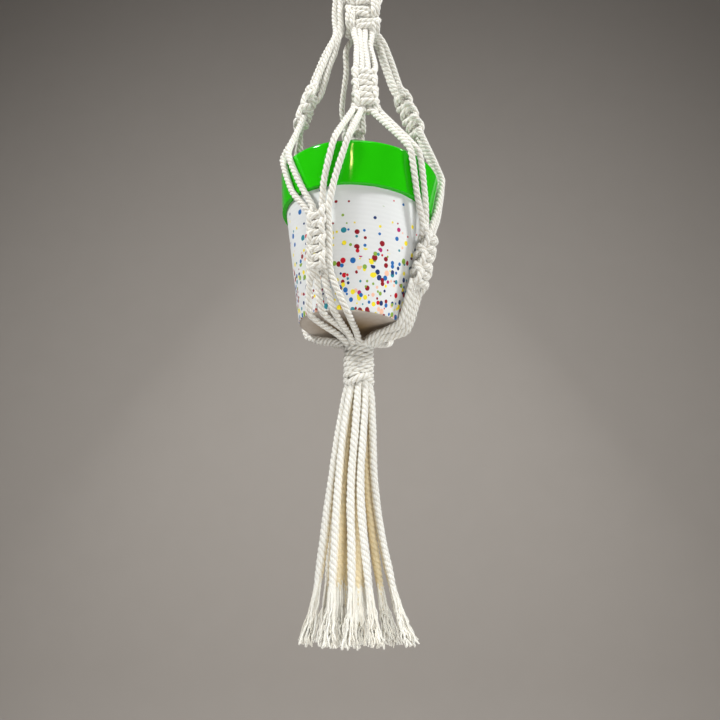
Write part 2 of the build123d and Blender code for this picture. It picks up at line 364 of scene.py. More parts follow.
def add_fuzz(parts, line, rings, apart):
    """Short loose fibres that lift off the cord and curl back along it."""
    spacing = np.linalg.norm(line[1] - line[0])
    theta = np.linspace(0.0, 2 * math.pi, 3, endpoint=False)
    for _ in range(int(len(line) * spacing / apart)):
        i = int(rng.integers(2, len(line) - 3))
        j = int(rng.integers(0, rings.shape[1]))
        out = unit(rings[i, j] - line[i])
        along = unit(line[i + 1] - line[i]) * rng.choice((-1.0, 1.0))
        side = np.cross(out, along)
        lean = rng.uniform(-1.0, 1.0)
        lift = FUZZ_REACH * rng.uniform(0.3, 1.0)
        stretch = rng.uniform(0.5, 1.3)
        foot = rings[i, j] - out * 0.15
        bend = foot + out * (lift + 0.15) + along * 0.5 * stretch + side * lean * 0.4
        tip = foot + out * (lift * 0.7 + 0.15) + along * 1.4 * stretch + side * lean * 1.2
        spine = np.array([foot, 0.3 * foot + 0.7 * bend, bend, tip])
        widths = FUZZ_R * np.array([1.2, 1.0, 0.9, 0.5])
        fibre = spine[:, None, :] + widths[:, None, None] * (
            np.cos(theta)[None, :, None] * side + np.sin(theta)[None, :, None] * out
        )
        parts.add_tube(fibre, theta / (2 * math.pi), np.arange(4.0), np.zeros((4, 3)))


# ---- Materials ----
def new_material(name):
    material = bpy.data.materials.new(name)
    material.use_nodes = True
    tree = material.node_tree
    shader = tree.nodes["Principled BSDF"]
    return material, tree, shader


def node(tree, kind, **settings):
    made = tree.nodes.new(kind)
    for key, value in settings.items():
        setattr(made, key, value)
    return made


def math_node(tree, operation, first, second=None, third=None, clamp=False):
    made = node(tree, "ShaderNodeMath", operation=operation, use_clamp=clamp)
    for socket, value in zip(made.inputs, (first, second, third)):
        if value is None:
            continue
        if isinstance(value, (int, float)):
            socket.default_value = value
        else:
            tree.links.new(value, socket)
    return made.outputs[0]


def mix_colors(tree, factor, low, high):
    made = node(tree, "ShaderNodeMix", data_type="RGBA")
    for socket, value in ((made.inputs[0], factor), (made.inputs[6], low), (made.inputs[7], high)):
        if isinstance(value, (int, float)):
            socket.default_value = value
        elif isinstance(value, tuple):
            socket.default_value = (*value, 1.0)
        else:
            tree.links.new(value, socket)
    return made.outputs[2]


def noise(tree, vector, scale, detail=3.0, roughness=0.55):
    made = node(tree, "ShaderNodeTexNoise")
    made.inputs["Scale"].default_value = scale
    made.inputs["Detail"].default_value = detail
    made.inputs["Roughness"].default_value = roughness
    tree.links.new(vector, made.inputs["Vector"])
    return made.outputs["Fac"]


def object_place(tree):
    return node(tree, "ShaderNodeTexCoord").outputs["Object"]


YARNS_ROUND = 13  # fine yarns round the whole cord
YARN_DRIFT = 0.094  # share of a turn by which a yarn moves round the plies in each millimetre


def cotton_material():
    """Natural three-ply cotton: yarn lines across the plies, with a painted highlight on their crests and
    painted shade between them, painted warm shade in the grooves and deep in the tassel's bundle, a soft
    fuzzy sheen.
    """
    material, tree, shader = new_material("cotton_cord")
    uv = node(tree, "ShaderNodeUVMap", uv_map="cord").outputs[0]
    split = node(tree, "ShaderNodeSeparateXYZ")
    tree.links.new(uv, split.inputs[0])
    drift = math_node(tree, "MULTIPLY", split.outputs[1], YARN_DRIFT)
    turn = math_node(tree, "SUBTRACT", split.outputs[0], drift)
    yarns = math_node(tree, "SINE", math_node(tree, "MULTIPLY", turn, 2 * math.pi * YARNS_ROUND))
    groove = node(tree, "ShaderNodeAttribute", attribute_name="groove").outputs["Fac"]
    place = object_place(tree)
    patches = noise(tree, place, 180.0)
    fibres = noise(tree, place, 1900.0, detail=3.0, roughness=0.7)
    broken = math_node(tree, "MULTIPLY_ADD", noise(tree, place, 620.0), 1.6, -0.3, clamp=True)
    # Painted highlight on the crests of the yarn lines and painted shade in the valleys between them;
    # yarn_shade also drives the bump.
    yarn_shade = math_node(tree, "MULTIPLY", math_node(tree, "MULTIPLY_ADD", yarns, 0.5, 0.5), broken)
    cream = mix_colors(tree, patches, (0.82, 0.815, 0.77), (0.92, 0.92, 0.89))
    lines = mix_colors(tree, math_node(tree, "MULTIPLY", yarn_shade, 0.6), cream, (0.96, 0.965, 0.945))
    yarn_valley_shade = math_node(tree, "MULTIPLY", math_node(tree, "MULTIPLY_ADD", yarns, -0.5, 0.5), broken)
    fleck = mix_colors(tree, math_node(tree, "MULTIPLY", yarn_valley_shade, 0.55), lines, (0.46, 0.42, 0.34))
    mottle = noise(tree, place, 850.0, detail=4.0, roughness=0.75)
    dull = math_node(tree, "MULTIPLY_ADD", mottle, 2.6, -1.15, clamp=True)
    fleck = mix_colors(tree, math_node(tree, "MULTIPLY", dull, 0.5), fleck, (0.56, 0.52, 0.43))
    bright = math_node(tree, "MULTIPLY_ADD", mottle, -3.0, 1.35, clamp=True)
    fleck = mix_colors(tree, math_node(tree, "MULTIPLY", bright, 0.75), fleck, (0.98, 0.98, 0.97))
    # Painted warm shade: the deeper a point lies in a groove between the plies, the more it is mixed towards
    # a dark tan.
    deep = math_node(tree, "MULTIPLY", math_node(tree, "POWER", groove, 2.0), 0.72, clamp=True)
    shaded = mix_colors(tree, deep, fleck, (0.44, 0.37, 0.26))
    # Painted warm shade deep in the tassel's bundle: golden on the inner strands and on the sides that face
    # the axis.
    bundle_shade = node(tree, "ShaderNodeAttribute", attribute_name="bundle_shade").outputs["Fac"]
    bundle_shade_amount = math_node(tree, "MULTIPLY", bundle_shade, 0.75, clamp=True)
    color = mix_colors(tree, bundle_shade_amount, shaded, (0.76, 0.59, 0.26))
    tree.links.new(color, shader.inputs["Base Color"])
    rough = math_node(tree, "MULTIPLY_ADD", fibres, 0.16, 0.78, clamp=True)
    tree.links.new(rough, shader.inputs["Roughness"])
    shader.inputs["Sheen Weight"].default_value = 0.35
    shader.inputs["Sheen Roughness"].default_value = 0.45
    shader.inputs["Specular IOR Level"].default_value = 0.25
    yarn_height = math_node(tree, "MULTIPLY", yarn_shade, 0.6)
    fibre_height = math_node(tree, "MULTIPLY", fibres, 1.1)
    height = math_node(tree, "ADD", yarn_height, fibre_height)
    bump = node(tree, "ShaderNodeBump")
    bump.inputs["Strength"].default_value = 0.75
    bump.inputs["Distance"].default_value = 0.00028
    tree.links.new(height, bump.inputs["Height"])
    tree.links.new(bump.outputs[0], shader.inputs["Normal"])
    return material


def yarn_material():
    """The same cotton as single loose yarns, too thin for plies of their own."""
    material, tree, shader = new_material("loose_yarn")
    place = object_place(tree)
    shade = node(tree, "ShaderNodeAttribute", attribute_name="groove").outputs["Fac"]
    fleck = noise(tree, place, 900.0)
    cream = mix_colors(tree, fleck, (0.72, 0.705, 0.64), (0.90, 0.90, 0.86))
    color = mix_colors(tree, math_node(tree, "MULTIPLY", shade, 0.35), cream, (0.66, 0.50, 0.28))
    tree.links.new(color, shader.inputs["Base Color"])
    tree.links.new(math_node(tree, "MULTIPLY_ADD", fleck, 0.2, 0.72), shader.inputs["Roughness"])
    shader.inputs["Sheen Weight"].default_value = 0.3
    shader.inputs["Sheen Roughness"].default_value = 0.45
    shader.inputs["Specular IOR Level"].default_value = 0.2
    return material


def wood_material():
    """Pale oiled beech with grain round the ring and small darker flecks."""
    material, tree, shader = new_material("ring_wood")
    place = object_place(tree)
    stretch = node(tree, "ShaderNodeMapping")
    stretch.inputs["Scale"].default_value = (260.0, 900.0, 90.0)
    tree.links.new(place, stretch.inputs["Vector"])
    grain = noise(tree, stretch.outputs[0], 1.0, detail=5.0, roughness=0.65)
    flecks = noise(tree, stretch.outputs[0], 3.6, detail=2.0)
    base = mix_colors(tree, grain, (0.40, 0.235, 0.115), (0.66, 0.45, 0.26))
    dark = math_node(tree, "GREATER_THAN", flecks, 0.66)
    color = mix_colors(tree, math_node(tree, "MULTIPLY", dark, 0.35), base, (0.26, 0.14, 0.06))
    tree.links.new(color, shader.inputs["Base Color"])
    tree.links.new(math_node(tree, "MULTIPLY_ADD", grain, 0.2, 0.36), shader.inputs["Roughness"])
    shader.inputs["Coat Weight"].default_value = 0.15
    shader.inputs["Coat Roughness"].default_value = 0.3
    bump = node(tree, "ShaderNodeBump")
    bump.inputs["Strength"].default_value = 0.35
    bump.inputs["Distance"].default_value = 0.0002
    tree.links.new(grain, bump.inputs["Height"])
    tree.links.new(bump.outputs[0], shader.inputs["Normal"])
    return material


RING_MARKS = 0.10  # depth of the fine turning rings round the body
# Where each dot colour's share of the random values begins, and the colour
DOT_COLORS = [
    (0.00, (0.26, 0.0, 0.010)),
    (0.20, (0.86, 0.72, 0.02)),
    (0.38, (0.010, 0.13, 0.42)),
    (0.52, (0.24, 0.40, 0.05)),
    (0.63, (0.84, 0.50, 0.36)),
    (0.72, (0.010, 0.035, 0.15)),
    (0.80, (0.54, 0.0, 0.014)),
    (0.89, (0.015, 0.23, 0.30)),
    (0.95, (0.42, 0.004, 0.13)),
]


DOT_LAYERS = [
    # Cell, smallest and largest radius, share of cells filled at the base and its loss per mm up, seed
    (4.1, 0.45, 0.95, (0.62, 0.0078), 6.2),
    (5.6, 0.95, 1.70, (0.78, 0.0118), 15.8),
    (5.1, 1.05, 1.75, (0.62, 0.0135), 29.3),
    (6.3, 0.70, 1.40, (0.80, 0.0118), 47.6),
]


def pot_coordinates(tree):
    """Height above the pot's base, angle and radius round its axis, and the place in its upright axes.

    Height and radius are in millimetres, the angle in radians and the place in metres.
    """
    place = object_place(tree)
    shift = node(tree, "ShaderNodeVectorMath", operation="SUBTRACT")
    shift.inputs[1].default_value = tuple(POT_BASE * MM)
    tree.links.new(place, shift.inputs[0])
    upright = node(tree, "ShaderNodeVectorRotate", rotation_type="Y_AXIS")
    upright.inputs["Angle"].default_value = -math.radians(POT_LEAN)
    tree.links.new(shift.outputs[0], upright.inputs["Vector"])
    split = node(tree, "ShaderNodeSeparateXYZ")
    tree.links.new(upright.outputs[0], split.inputs[0])
    height = math_node(tree, "MULTIPLY", split.outputs[2], 1 / MM)
    angle = math_node(tree, "ARCTAN2", split.outputs[0], math_node(tree, "MULTIPLY", split.outputs[1], -1.0))
    reach = node(tree, "ShaderNodeVectorMath", operation="LENGTH")
    flat = node(tree, "ShaderNodeCombineXYZ")
    tree.links.new(split.outputs[0], flat.inputs[0])
    tree.links.new(split.outputs[1], flat.inputs[1])
    tree.links.new(flat.outputs[0], reach.inputs[0])
    radius = math_node(tree, "MULTIPLY", reach.outputs["Value"], 1 / MM)
    return height, angle, radius, upright.outputs[0]


def dots(tree, height, angle, cell, turns, smallest, largest, common, seed):
    """Round dots of mixed sizes. Returns where they are and each one's own random value."""
    place = node(tree, "ShaderNodeCombineXYZ")
    tree.links.new(math_node(tree, "MULTIPLY_ADD", angle, turns / (2 * math.pi), seed), place.inputs[0])
    tree.links.new(math_node(tree, "DIVIDE", height, cell), place.inputs[1])
    cells = node(tree, "ShaderNodeTexVoronoi", voronoi_dimensions="2D", feature="F1")
    cells.inputs["Scale"].default_value = 1.0
    cells.inputs["Randomness"].default_value = 0.82
    tree.links.new(place.outputs[0], cells.inputs["Vector"])
    shade = node(tree, "ShaderNodeSeparateColor")
    tree.links.new(cells.outputs["Color"], shade.inputs[0])
    size = math_node(tree, "MULTIPLY_ADD", shade.outputs[0], (largest - smallest) / cell, smallest / cell)
    inside = math_node(tree, "LESS_THAN", cells.outputs["Distance"], size)
    fewer = math_node(tree, "MULTIPLY_ADD", height, -common[1], common[0])
    kept = math_node(tree, "LESS_THAN", shade.outputs[1], fewer)
    return math_node(tree, "MULTIPLY", inside, kept), shade.outputs[2]


def painted_clay_material():
    """White satin body with confetti dots, a glossy green rim and bare clay underneath, with painted shade
    towards the middle of the base.
    """
    material, tree, shader = new_material("painted_clay")
    shader.inputs["Specular IOR Level"].default_value = 0.3
    height, angle, radius, upright = pot_coordinates(tree)
    wear = noise(tree, upright, 240.0, detail=4.0)
    soft = noise(tree, upright, 40.0)
    color = mix_colors(tree, soft, (0.68, 0.695, 0.70), (0.75, 0.765, 0.77))
    for cell, smallest, largest, common, seed in DOT_LAYERS:
        turns = 2 * math.pi * (BASE_R + 7.0) / cell
        where, which = dots(tree, height, angle, cell, turns, smallest, largest, common, seed)
        ramp = node(tree, "ShaderNodeValToRGB")
        ramp.color_ramp.interpolation = "CONSTANT"
        while len(ramp.color_ramp.elements) < len(DOT_COLORS):
            ramp.color_ramp.elements.new(0.5)
        for element, (position, shade) in zip(ramp.color_ramp.elements, DOT_COLORS):
            element.position = position
            element.color = (*shade, 1.0)
        tree.links.new(which, ramp.inputs[0])
        color = mix_colors(tree, where, color, ramp.outputs[0])
    edge = math_node(tree, "MULTIPLY_ADD", noise(tree, upright, 90.0), 0.9, POT_BODY_H - 0.75)
    on_rim = math_node(tree, "GREATER_THAN", height, edge)
    green = mix_colors(tree, soft, (0.011, 0.43, 0.001), (0.018, 0.51, 0.002))
    color = mix_colors(tree, on_rim, color, green)
    # Painted shade: the bare clay darkens to brown towards the pot's axis, mostly the middle of the base
    # above the wrap.
    middle = math_node(tree, "MULTIPLY_ADD", radius, -0.05, 1.35, clamp=True)
    clay = mix_colors(tree, wear, (0.40, 0.345, 0.30), (0.56, 0.51, 0.45))
    clay = mix_colors(tree, middle, clay, (0.30, 0.20, 0.10))
    worn_edge = math_node(tree, "MULTIPLY_ADD", wear, 0.8, 0.2)
    below = math_node(tree, "LESS_THAN", height, worn_edge)
    inner_wall = math_node(tree, "MULTIPLY_ADD", height, WALL_SLOPE, BASE_R - 2.2)
    inner = math_node(tree, "LESS_THAN", radius, inner_wall)
    in_body = math_node(tree, "MULTIPLY", inner, math_node(tree, "LESS_THAN", height, POT_BODY_H + 5.0))
    bare = math_node(tree, "MAXIMUM", below, in_body)
    color = mix_colors(tree, bare, color, clay)
    tree.links.new(color, shader.inputs["Base Color"])
    satin = math_node(tree, "MULTIPLY_ADD", wear, 0.12, 0.42)
    gloss = math_node(tree, "MULTIPLY_ADD", soft, 0.03, 0.06)
    rim_rough = math_node(tree, "MULTIPLY", on_rim, gloss)
    body_rough = math_node(tree, "MULTIPLY", math_node(tree, "SUBTRACT", 1.0, on_rim), satin)
    rough = math_node(tree, "ADD", rim_rough, body_rough)
    rough = math_node(tree, "MAXIMUM", rough, math_node(tree, "MULTIPLY", bare, 0.85))
    tree.links.new(rough, shader.inputs["Roughness"])
    rings = math_node(tree, "SINE", math_node(tree, "MULTIPLY", height, 2.4))
    off_rim = math_node(tree, "SUBTRACT", RING_MARKS, math_node(tree, "MULTIPLY", on_rim, RING_MARKS))
    rings = math_node(tree, "MULTIPLY", rings, off_rim)
    relief = math_node(tree, "ADD", rings, math_node(tree, "MULTIPLY", soft, 1.2))
    grit = math_node(tree, "MULTIPLY", math_node(tree, "MULTIPLY", wear, bare), 1.5)
    relief = math_node(tree, "ADD", relief, grit)
    bump = node(tree, "ShaderNodeBump")
    bump.inputs["Strength"].default_value = 0.35
    bump.inputs["Distance"].default_value = 0.0004
    tree.links.new(relief, bump.inputs["Height"])
    tree.links.new(bump.outputs[0], shader.inputs["Normal"])
    return material


COTTON = cotton_material()
YARN = yarn_material()
WOOD = wood_material()
CLAY = painted_clay_material()


def finish_piece(piece, body, *nodes):
    """Gives a cord piece its material and its body, and hides the CAD nodes that it stands for."""
    piece.data.materials.append(COTTON)
    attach(piece, body)
    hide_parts(*nodes)


def paint_node(name, material):
    """A CAD node that stays gets its detailed material."""
    materials = frame["nodes"][name].data.materials
    materials.clear()
    materials.append(material)


# ---- Ring and bights ----
def bight_feet():
    """Where each folded cord's legs enter the top knot, front leg then back leg."""
    feet = []
    for i in range(BIGHT_COUNT):
        place = i - (BIGHT_COUNT - 1) / 2
        x = place * CORD_PITCH * BIGHT_SPREAD
        feet.append([np.array([x, y, BASE_Z + TOP_KNOT_TIED_HIGH]) for y in (-BIGHT_R, BIGHT_R)])
    return feet


def ring_bights():
    parts = MeshParts()
    step = math.degrees(CORD_PITCH / (RING_R - BIGHT_R))
    for i, (front, back) in enumerate(bight_feet()):
        a = math.radians((i - (BIGHT_COUNT - 1) / 2) * step)
        outwards = np.array([math.sin(a), 0.0, -math.cos(a)])
        seat = RING_CENTRE + outwards * RING_R
        leg = np.array([0.0, BIGHT_R + 0.4, 0.0])
        crown = outwards * (BIGHT_R + 0.4)
        control = [
            front,
            seat + outwards * (BIGHT_LEG + 2.0) - leg,
            seat + outwards * (BIGHT_LEG - 3.0) - leg,
            seat - leg,
            seat - leg * 0.95 - crown * 0.60,
            seat - leg * 0.42 - crown * 1.02,
            seat + leg * 0.42 - crown * 1.02,
            seat + leg * 0.95 - crown * 0.60,
            seat + leg,
            seat + outwards * (BIGHT_LEG - 3.0) + leg,
            seat + outwards * (BIGHT_LEG + 2.0) + leg,
            back,
        ]
        add_rope(parts, control)
    finish_piece(parts.build("ring_bight_cords"), "hanger", "ring_bights")


# ---- Knots ----
def worker_routes(length, half_knots, side, front, lead):
    """Control points of a square-knot sinnet's two working cords.

    One crosses in front of the fillers at each half knot and slips under the other at its end.
    The other crosses behind them and comes out over the first, so both edges show upright loops.
    """
    height = length / half_knots
    ahead = [(-side, 0.0, length / 2 + lead)]
    behind = [(side, 0.0, length / 2 + lead)]
    for k in range(half_knots):
        z = length / 2 - (k + 0.5) * height
        s = 1.0 if k % 2 == 0 else -1.0
        ahead += [
            (-s * side * 1.08, -front * 0.62, z + 0.50 * height),
            (-s * side * 1.00, -front * 1.02, z + 0.22 * height),
            (-s * side * 0.62, -front * 1.12, z + 0.05 * height),
            (0.0, -front * 1.22, z),
            (s * side * 0.50, -front * 1.04, z - 0.02 * height),
            (s * side * 0.80, -front * 0.10, z + 0.02 * height),
            (s * side * 1.10, -front * 0.05, z - 0.20 * height),
        ]
        behind += [
            (s * side * 1.02, -front * 1.16, z + 0.40 * height),
            (s * side * 1.00, -front * 1.12, z + 0.04 * height),
            (s * side * 0.84, front * 0.20, z - 0.30 * height),
            (0.0, front * 1.10, z - 0.06 * height),
            (-s * side * 0.74, front * 0.55, z + 0.20 * height),
            (-s * side * 0.70, -front * 0.60, z + 0.34 * height),
            (-s * side * 0.96, -front * 1.24, z + 0.10 * height),
        ]
    s = 1.0 if half_knots % 2 == 0 else -1.0
    ahead += [(-s * side, 0.0, -length / 2), (-s * side, 0.0, -length / 2 - lead)]
    behind += [(s * side, -front * 0.5, -length / 2), (s * side, 0.0, -length / 2 - lead)]
    return ahead, behind


def placed(points, high, low, angle):
    """Local sinnet points (sideways, inwards, along) set between two places on the planter."""
    along = unit(high - low)
    side = around(angle, 0.0, 0.0, 1.0)
    inwards = np.cross(along, side)
    centre = (high + low) / 2
    return [centre + side * x + inwards * y + along * z for x, y, z in points]


FILLER_X = 1.95
KNOT_SIDE = 5.9  # half the width of the working cords' loops
KNOT_FRONT = 3.2  # how far they stand out from the fillers
KNOT_LEAD = 3.0  # run of cord past each end of the knot
WORKER_WIDTHS = (1.12, 0.95)  # the working cords' widths, as shares of a loose cord's


def small_sinnet(name, high, low, angle, half_knots=6):
    """Square knots in a row: two fillers inside, one worker in front and one behind."""
    parts = MeshParts()
    length = float(np.linalg.norm(high - low))
    wobble = rng.uniform(-0.25, 0.25, 4)
    for x, shift in ((-FILLER_X, wobble[0]), (FILLER_X, wobble[1])):
        filler = [
            (x, 0.0, length / 2 + KNOT_LEAD),
            (x + shift, 0.0, length / 4),
            (x, 0.0, -length / 4),
            (x, 0.0, -length / 2 - KNOT_LEAD),
        ]
        add_rope(parts, placed(filler, high, low, angle))
    workers = worker_routes(length, half_knots, KNOT_SIDE, KNOT_FRONT, KNOT_LEAD)
    for route, width in zip(workers, WORKER_WIDTHS):
        add_rope(parts, placed(route, high, low, angle), radius=CORD_R * width, step=0.6)
    finish_piece(parts.build(name + "_cords"), "hanger", name)


KNOT_X = 2.6  # middle of the tied column; the left arm's strands pass by it
COLUMNS = (KNOT_X - 4.4, KNOT_X - 1.5, KNOT_X + 1.5, KNOT_X + 4.4)
ROWS = (-4.3, 0.0, 4.3)
BUNCHES = {
    # Each loose cord's place across the arm between the knots: sideways, outwards
    "front": [(-4.8, 0.6), (-0.9, 0.2), (3.2, 0.0), (8.8, -1.4)],
    "right": [(-2.4, 2.1), (-1.8, -2.0), (2.2, -1.9), (2.0, 2.2)],
    "back": [(-5.2, 0.4), (-2.6, -0.2), (1.0, 0.3), (9.6, 0.0)],
    "left": [(-1.6, 3.3), (-2.4, -0.9), (1.8, -3.2), (2.5, 1.0)],
}
STRANDS = {
    # Each arm cord's folded cord and leg (0 front, 1 back), and its place in the top knot
    "left": [(0, 1, -15.6, 1.2), (1, 1, -11.6, 1.6), (1, 0, -12.3, -5.2), (0, 0, -16.2, -3.4)],
    "front": [(i + 2, 0, COLUMNS[i], ROWS[0]) for i in range(4)],
    "right": [
        (6, 0, COLUMNS[3] + 2.0, ROWS[0] + 2.2),
        (7, 0, COLUMNS[3] + 1.0, ROWS[1]),
        (6, 1, COLUMNS[2], ROWS[1]),
        (7, 1, COLUMNS[3] + 2.0, ROWS[2] - 2.2),
    ],
    "back": [(i + 2, 1, COLUMNS[i], ROWS[2]) for i in (3, 2, 1, 0)],
}


def top_knot():
    """The doubled cords that tie all but the left arm's strands together."""
    workers = MeshParts()
    length = TOP_KNOT_TIED_LENGTH
    high = np.array([KNOT_X, 0.0, BASE_Z + TOP_KNOT_TIED_HIGH])
    low = high - np.array([0.0, 0.0, length])
    for route in worker_routes(length, 4, 8.6, 7.2, 0.5):
        for shift in (-1.0, 1.0):
            moved = [(0.0, 2.0 * shift, length / 2 - 4.0)]
            for x, y, z in route[1:-1]:
                edge = min(1.0, abs(x) / 8.0)
                outwards = 1.35 * shift * edge * (1.0 if x > 0 else -1.0)
                moved.append((x + outwards, y, z + 1.9 * shift * (1.0 - 0.4 * edge)))
            moved += [(4.0 * shift, 0.0, 1.5 - length / 2), (0.0, 1.5 * shift, 3.0 - length / 2)]
            add_rope(workers, placed(moved, high, low, 0.0), step=0.8)
    finish_piece(workers.build("top_knot_tying_cord"), "hanger", "top_knot")


# ---- Cords between the knots ----
# How far an arm's strands spread on their way down
GATHER = {"front": (0.62, 0.85, 0.95), "back": (0.7, 0.9, 1.0)}


def arm_cords(arm):
    """An arm's four strands, from the folds at the ring through the top knot to the arm's own knot."""
    angle, start, high, low = ARMS[arm]
    parts = MeshParts()
    feet = bight_feet()
    into = unit(on_hanger(angle, *low) - on_hanger(angle, *high)) * 3.0
    for i, (line, (sideways, outwards)) in enumerate(zip(CORD_LINES, BUNCHES[arm])):
        fold, leg, x, y = STRANDS[arm][i]
        foot = feet[fold][leg]
        bulge = -0.8 if arm == "left" else 0.0
        sway = rng.uniform(-0.3, 0.3, 2)
        control = [
            foot + np.array([0.0, 0.0, 2.0]),
            foot + np.array([0.0, 0.0, -4.0]),
            np.array([x + sway[0], y, BASE_Z + 236.0]),
            np.array([x + bulge, y, BASE_Z + 224.0]),
            np.array([x + sway[1], y, BASE_Z + 213.0]),
            on_hanger(angle, start[0] + 0.5 * outwards, start[1], 0.8 * sideways + 0.2 * line),
        ]
        for share, gather in zip((0.25, 0.55, 0.82), GATHER.get(arm, (1.0, 1.0, 1.0))):
            radius = start[0] + (high[0] - start[0]) * share + outwards
            height = start[1] + (high[1] - start[1]) * share
            control.append(on_hanger(angle, radius, height, sideways * gather))
        end = on_hanger(angle, *high, line)
        control += [end - into * 0.5, end + into]
        if arm == "left" and i == 2:
            control = control[:-3] + [
                on_hanger(angle, high[0] - 7.5, high[1] + 8.0, sideways),
                on_hanger(angle, high[0] - 5.2, high[1] - 1.0, sideways * 0.6),
                on_hanger(angle, high[0] - 1.5, high[1] - 6.5, 0.5),
                on_hanger(angle, high[0] + 1.5, high[1] - 8.5, 0.0),
            ]
        add_rope(parts, control)
    finish_piece(parts.build(f"arm_cords_{arm}_rope"), "hanger", f"arm_cords_{arm}")


def arm_knot(arm):
    angle, _, high, low = ARMS[arm]
    half_knots = 5 if arm == "left" else 6
    small_sinnet(f"arm_knot_{arm}", on_hanger(angle, *high), on_hanger(angle, *low), angle, half_knots)


TIED_ROUND_TWO = ("front_left", "back_right")  # tied round their two middle cords only
TIED_SIDE = 3.7
TIED_FRONT = 3.4
TIED_LEAD = 4.0
TIED_WIDTHS = (1.08, 0.92)
TIED_HALF_KNOTS = 7


def lower_knot(name):
    angle = LOWER_KNOTS[name][0]
    stand_off = KNOT_T / 2 + SEAT_GAP
    high, low = (on_pot(angle, wall_r(h) + stand_off, h) for h in (LOWER_KNOT_HIGH, LOWER_KNOT_LOW))
    if name not in TIED_ROUND_TWO:
        small_sinnet(f"lower_knot_{name}", high, low, angle)
        return
    parts = MeshParts()
    length = float(np.linalg.norm(high - low))
    for x in (-1.0, 1.0):
        filler = [(x, 0.4, length / 2 + 2.0), (x, 0.4, 0.0), (x, 0.4, -length / 2)]
        add_rope(parts, placed(filler, high, low, angle))
    workers = worker_routes(length, TIED_HALF_KNOTS, TIED_SIDE, TIED_FRONT, TIED_LEAD)
    for route, width in zip(workers, TIED_WIDTHS):
        add_rope(parts, placed(route, high, low, angle), radius=CORD_R * width, step=0.6)
    finish_piece(parts.build(f"lower_knot_{name}_cords"), "hanger", f"lower_knot_{name}")


def rim_cords(arm):
    angle, _, high, low = ARMS[arm]
    parts = MeshParts()
    up = unit(on_hanger(angle, *high) - on_hanger(angle, *low)) * 3.0
    over_edge = CORD_R + SEAT_GAP + 0.35
    stand_off = KNOT_T / 2 + SEAT_GAP
    bury_h = LOWER_KNOT_HIGH - 3.0
    for i, (top_angle, low_angle, knot, place) in enumerate(RIM_CORDS[arm]):
        knot_angle = LOWER_KNOTS[knot][0]
        leave = on_hanger(angle, *low, CORD_LINES[i] * SPREAD)
        control = [
            leave + up,
            leave,
            on_pot(top_angle, RIM_TOP_R + over_edge, POT_H + 0.6),
            on_pot(low_angle, RIM_LOW_R + over_edge - 0.2, POT_BODY_H),
            on_pot(knot_angle, wall_r(bury_h + 5) + stand_off, bury_h + 5, CORD_LINES[place]),
            on_pot(knot_angle, wall_r(bury_h) + stand_off, bury_h, CORD_LINES[place]),
        ]
        if knot in TIED_ROUND_TWO and place in (0, 3):
            for height, bow in ((41.0, 0.4), (30.0, -0.3), (LOWER_KNOT_LOW + 1.0, 0.0)):
                across = CORD_LINES[place] * 1.05 + bow
                control.append(on_pot(knot_angle, wall_r(height) + stand_off + 0.3, height, across))
        control = turned_by_corner(control, 3, 4.0)
        control = turned_by_corner(control, 2, 3.0)
        control = turned_by_corner(control, 1, 2.0)
        add_rope(parts, control)
    finish_piece(parts.build(f"rim_cords_{arm}_rope"), "hanger", f"rim_cords_{arm}")


def cradle_cords(name):
    knot_angle, edge_angles = LOWER_KNOTS[name]
    slot = WRAP_SLOT_ANGLES[name]
    wrap_places = [(slot - 30, 6.2, -6.0), (slot - 15, 2.6, -5.0), (slot, 6.2, -6.0), (slot + 30, 6.2, -6.0)]
    stand_off = KNOT_T / 2 + SEAT_GAP
    start_h = LOWER_KNOT_LOW + 3.0
    parts = MeshParts()
    for i, edge_angle in enumerate(edge_angles):
        wrap_angle, wrap_r, sink = wrap_places[i]
        outer_r, rise = (8.4, -0.6) if wrap_r > 5 else (6.6, 2.6)
        outer = on_hanger(wrap_angle, outer_r, WRAP_HIGH + rise)
        control = [
            on_pot(knot_angle, wall_r(start_h) + stand_off, start_h, CORD_LINES[i]),
            on_pot(knot_angle, wall_r(start_h - 6) + stand_off, start_h - 6, CORD_LINES[i] * 1.1),
            on_pot(edge_angle, BASE_R + CORD_R + SEAT_GAP + 0.5, -2.3),
            outer,
            on_hanger(wrap_angle, wrap_r, WRAP_HIGH + sink),
        ]
        control = turned_by_corner(control, 2, 3.0)
        add_rope(parts, control)
    finish_piece(parts.build(f"cradle_cords_{name}_rope"), "hanger", f"cradle_cords_{name}")


WRAP_TURNS = 7.43
WRAP_POINTS_PER_TURN = 12
WRAP_START_ANGLE = 130.0
# The cord's end crosses back up over the turns: outwards from them, height
WRAP_END = [(0.6, -35.8), (2.0, -34.6), (2.3, -33.0), (1.4, -31.2), (-1.0, -30.0)]


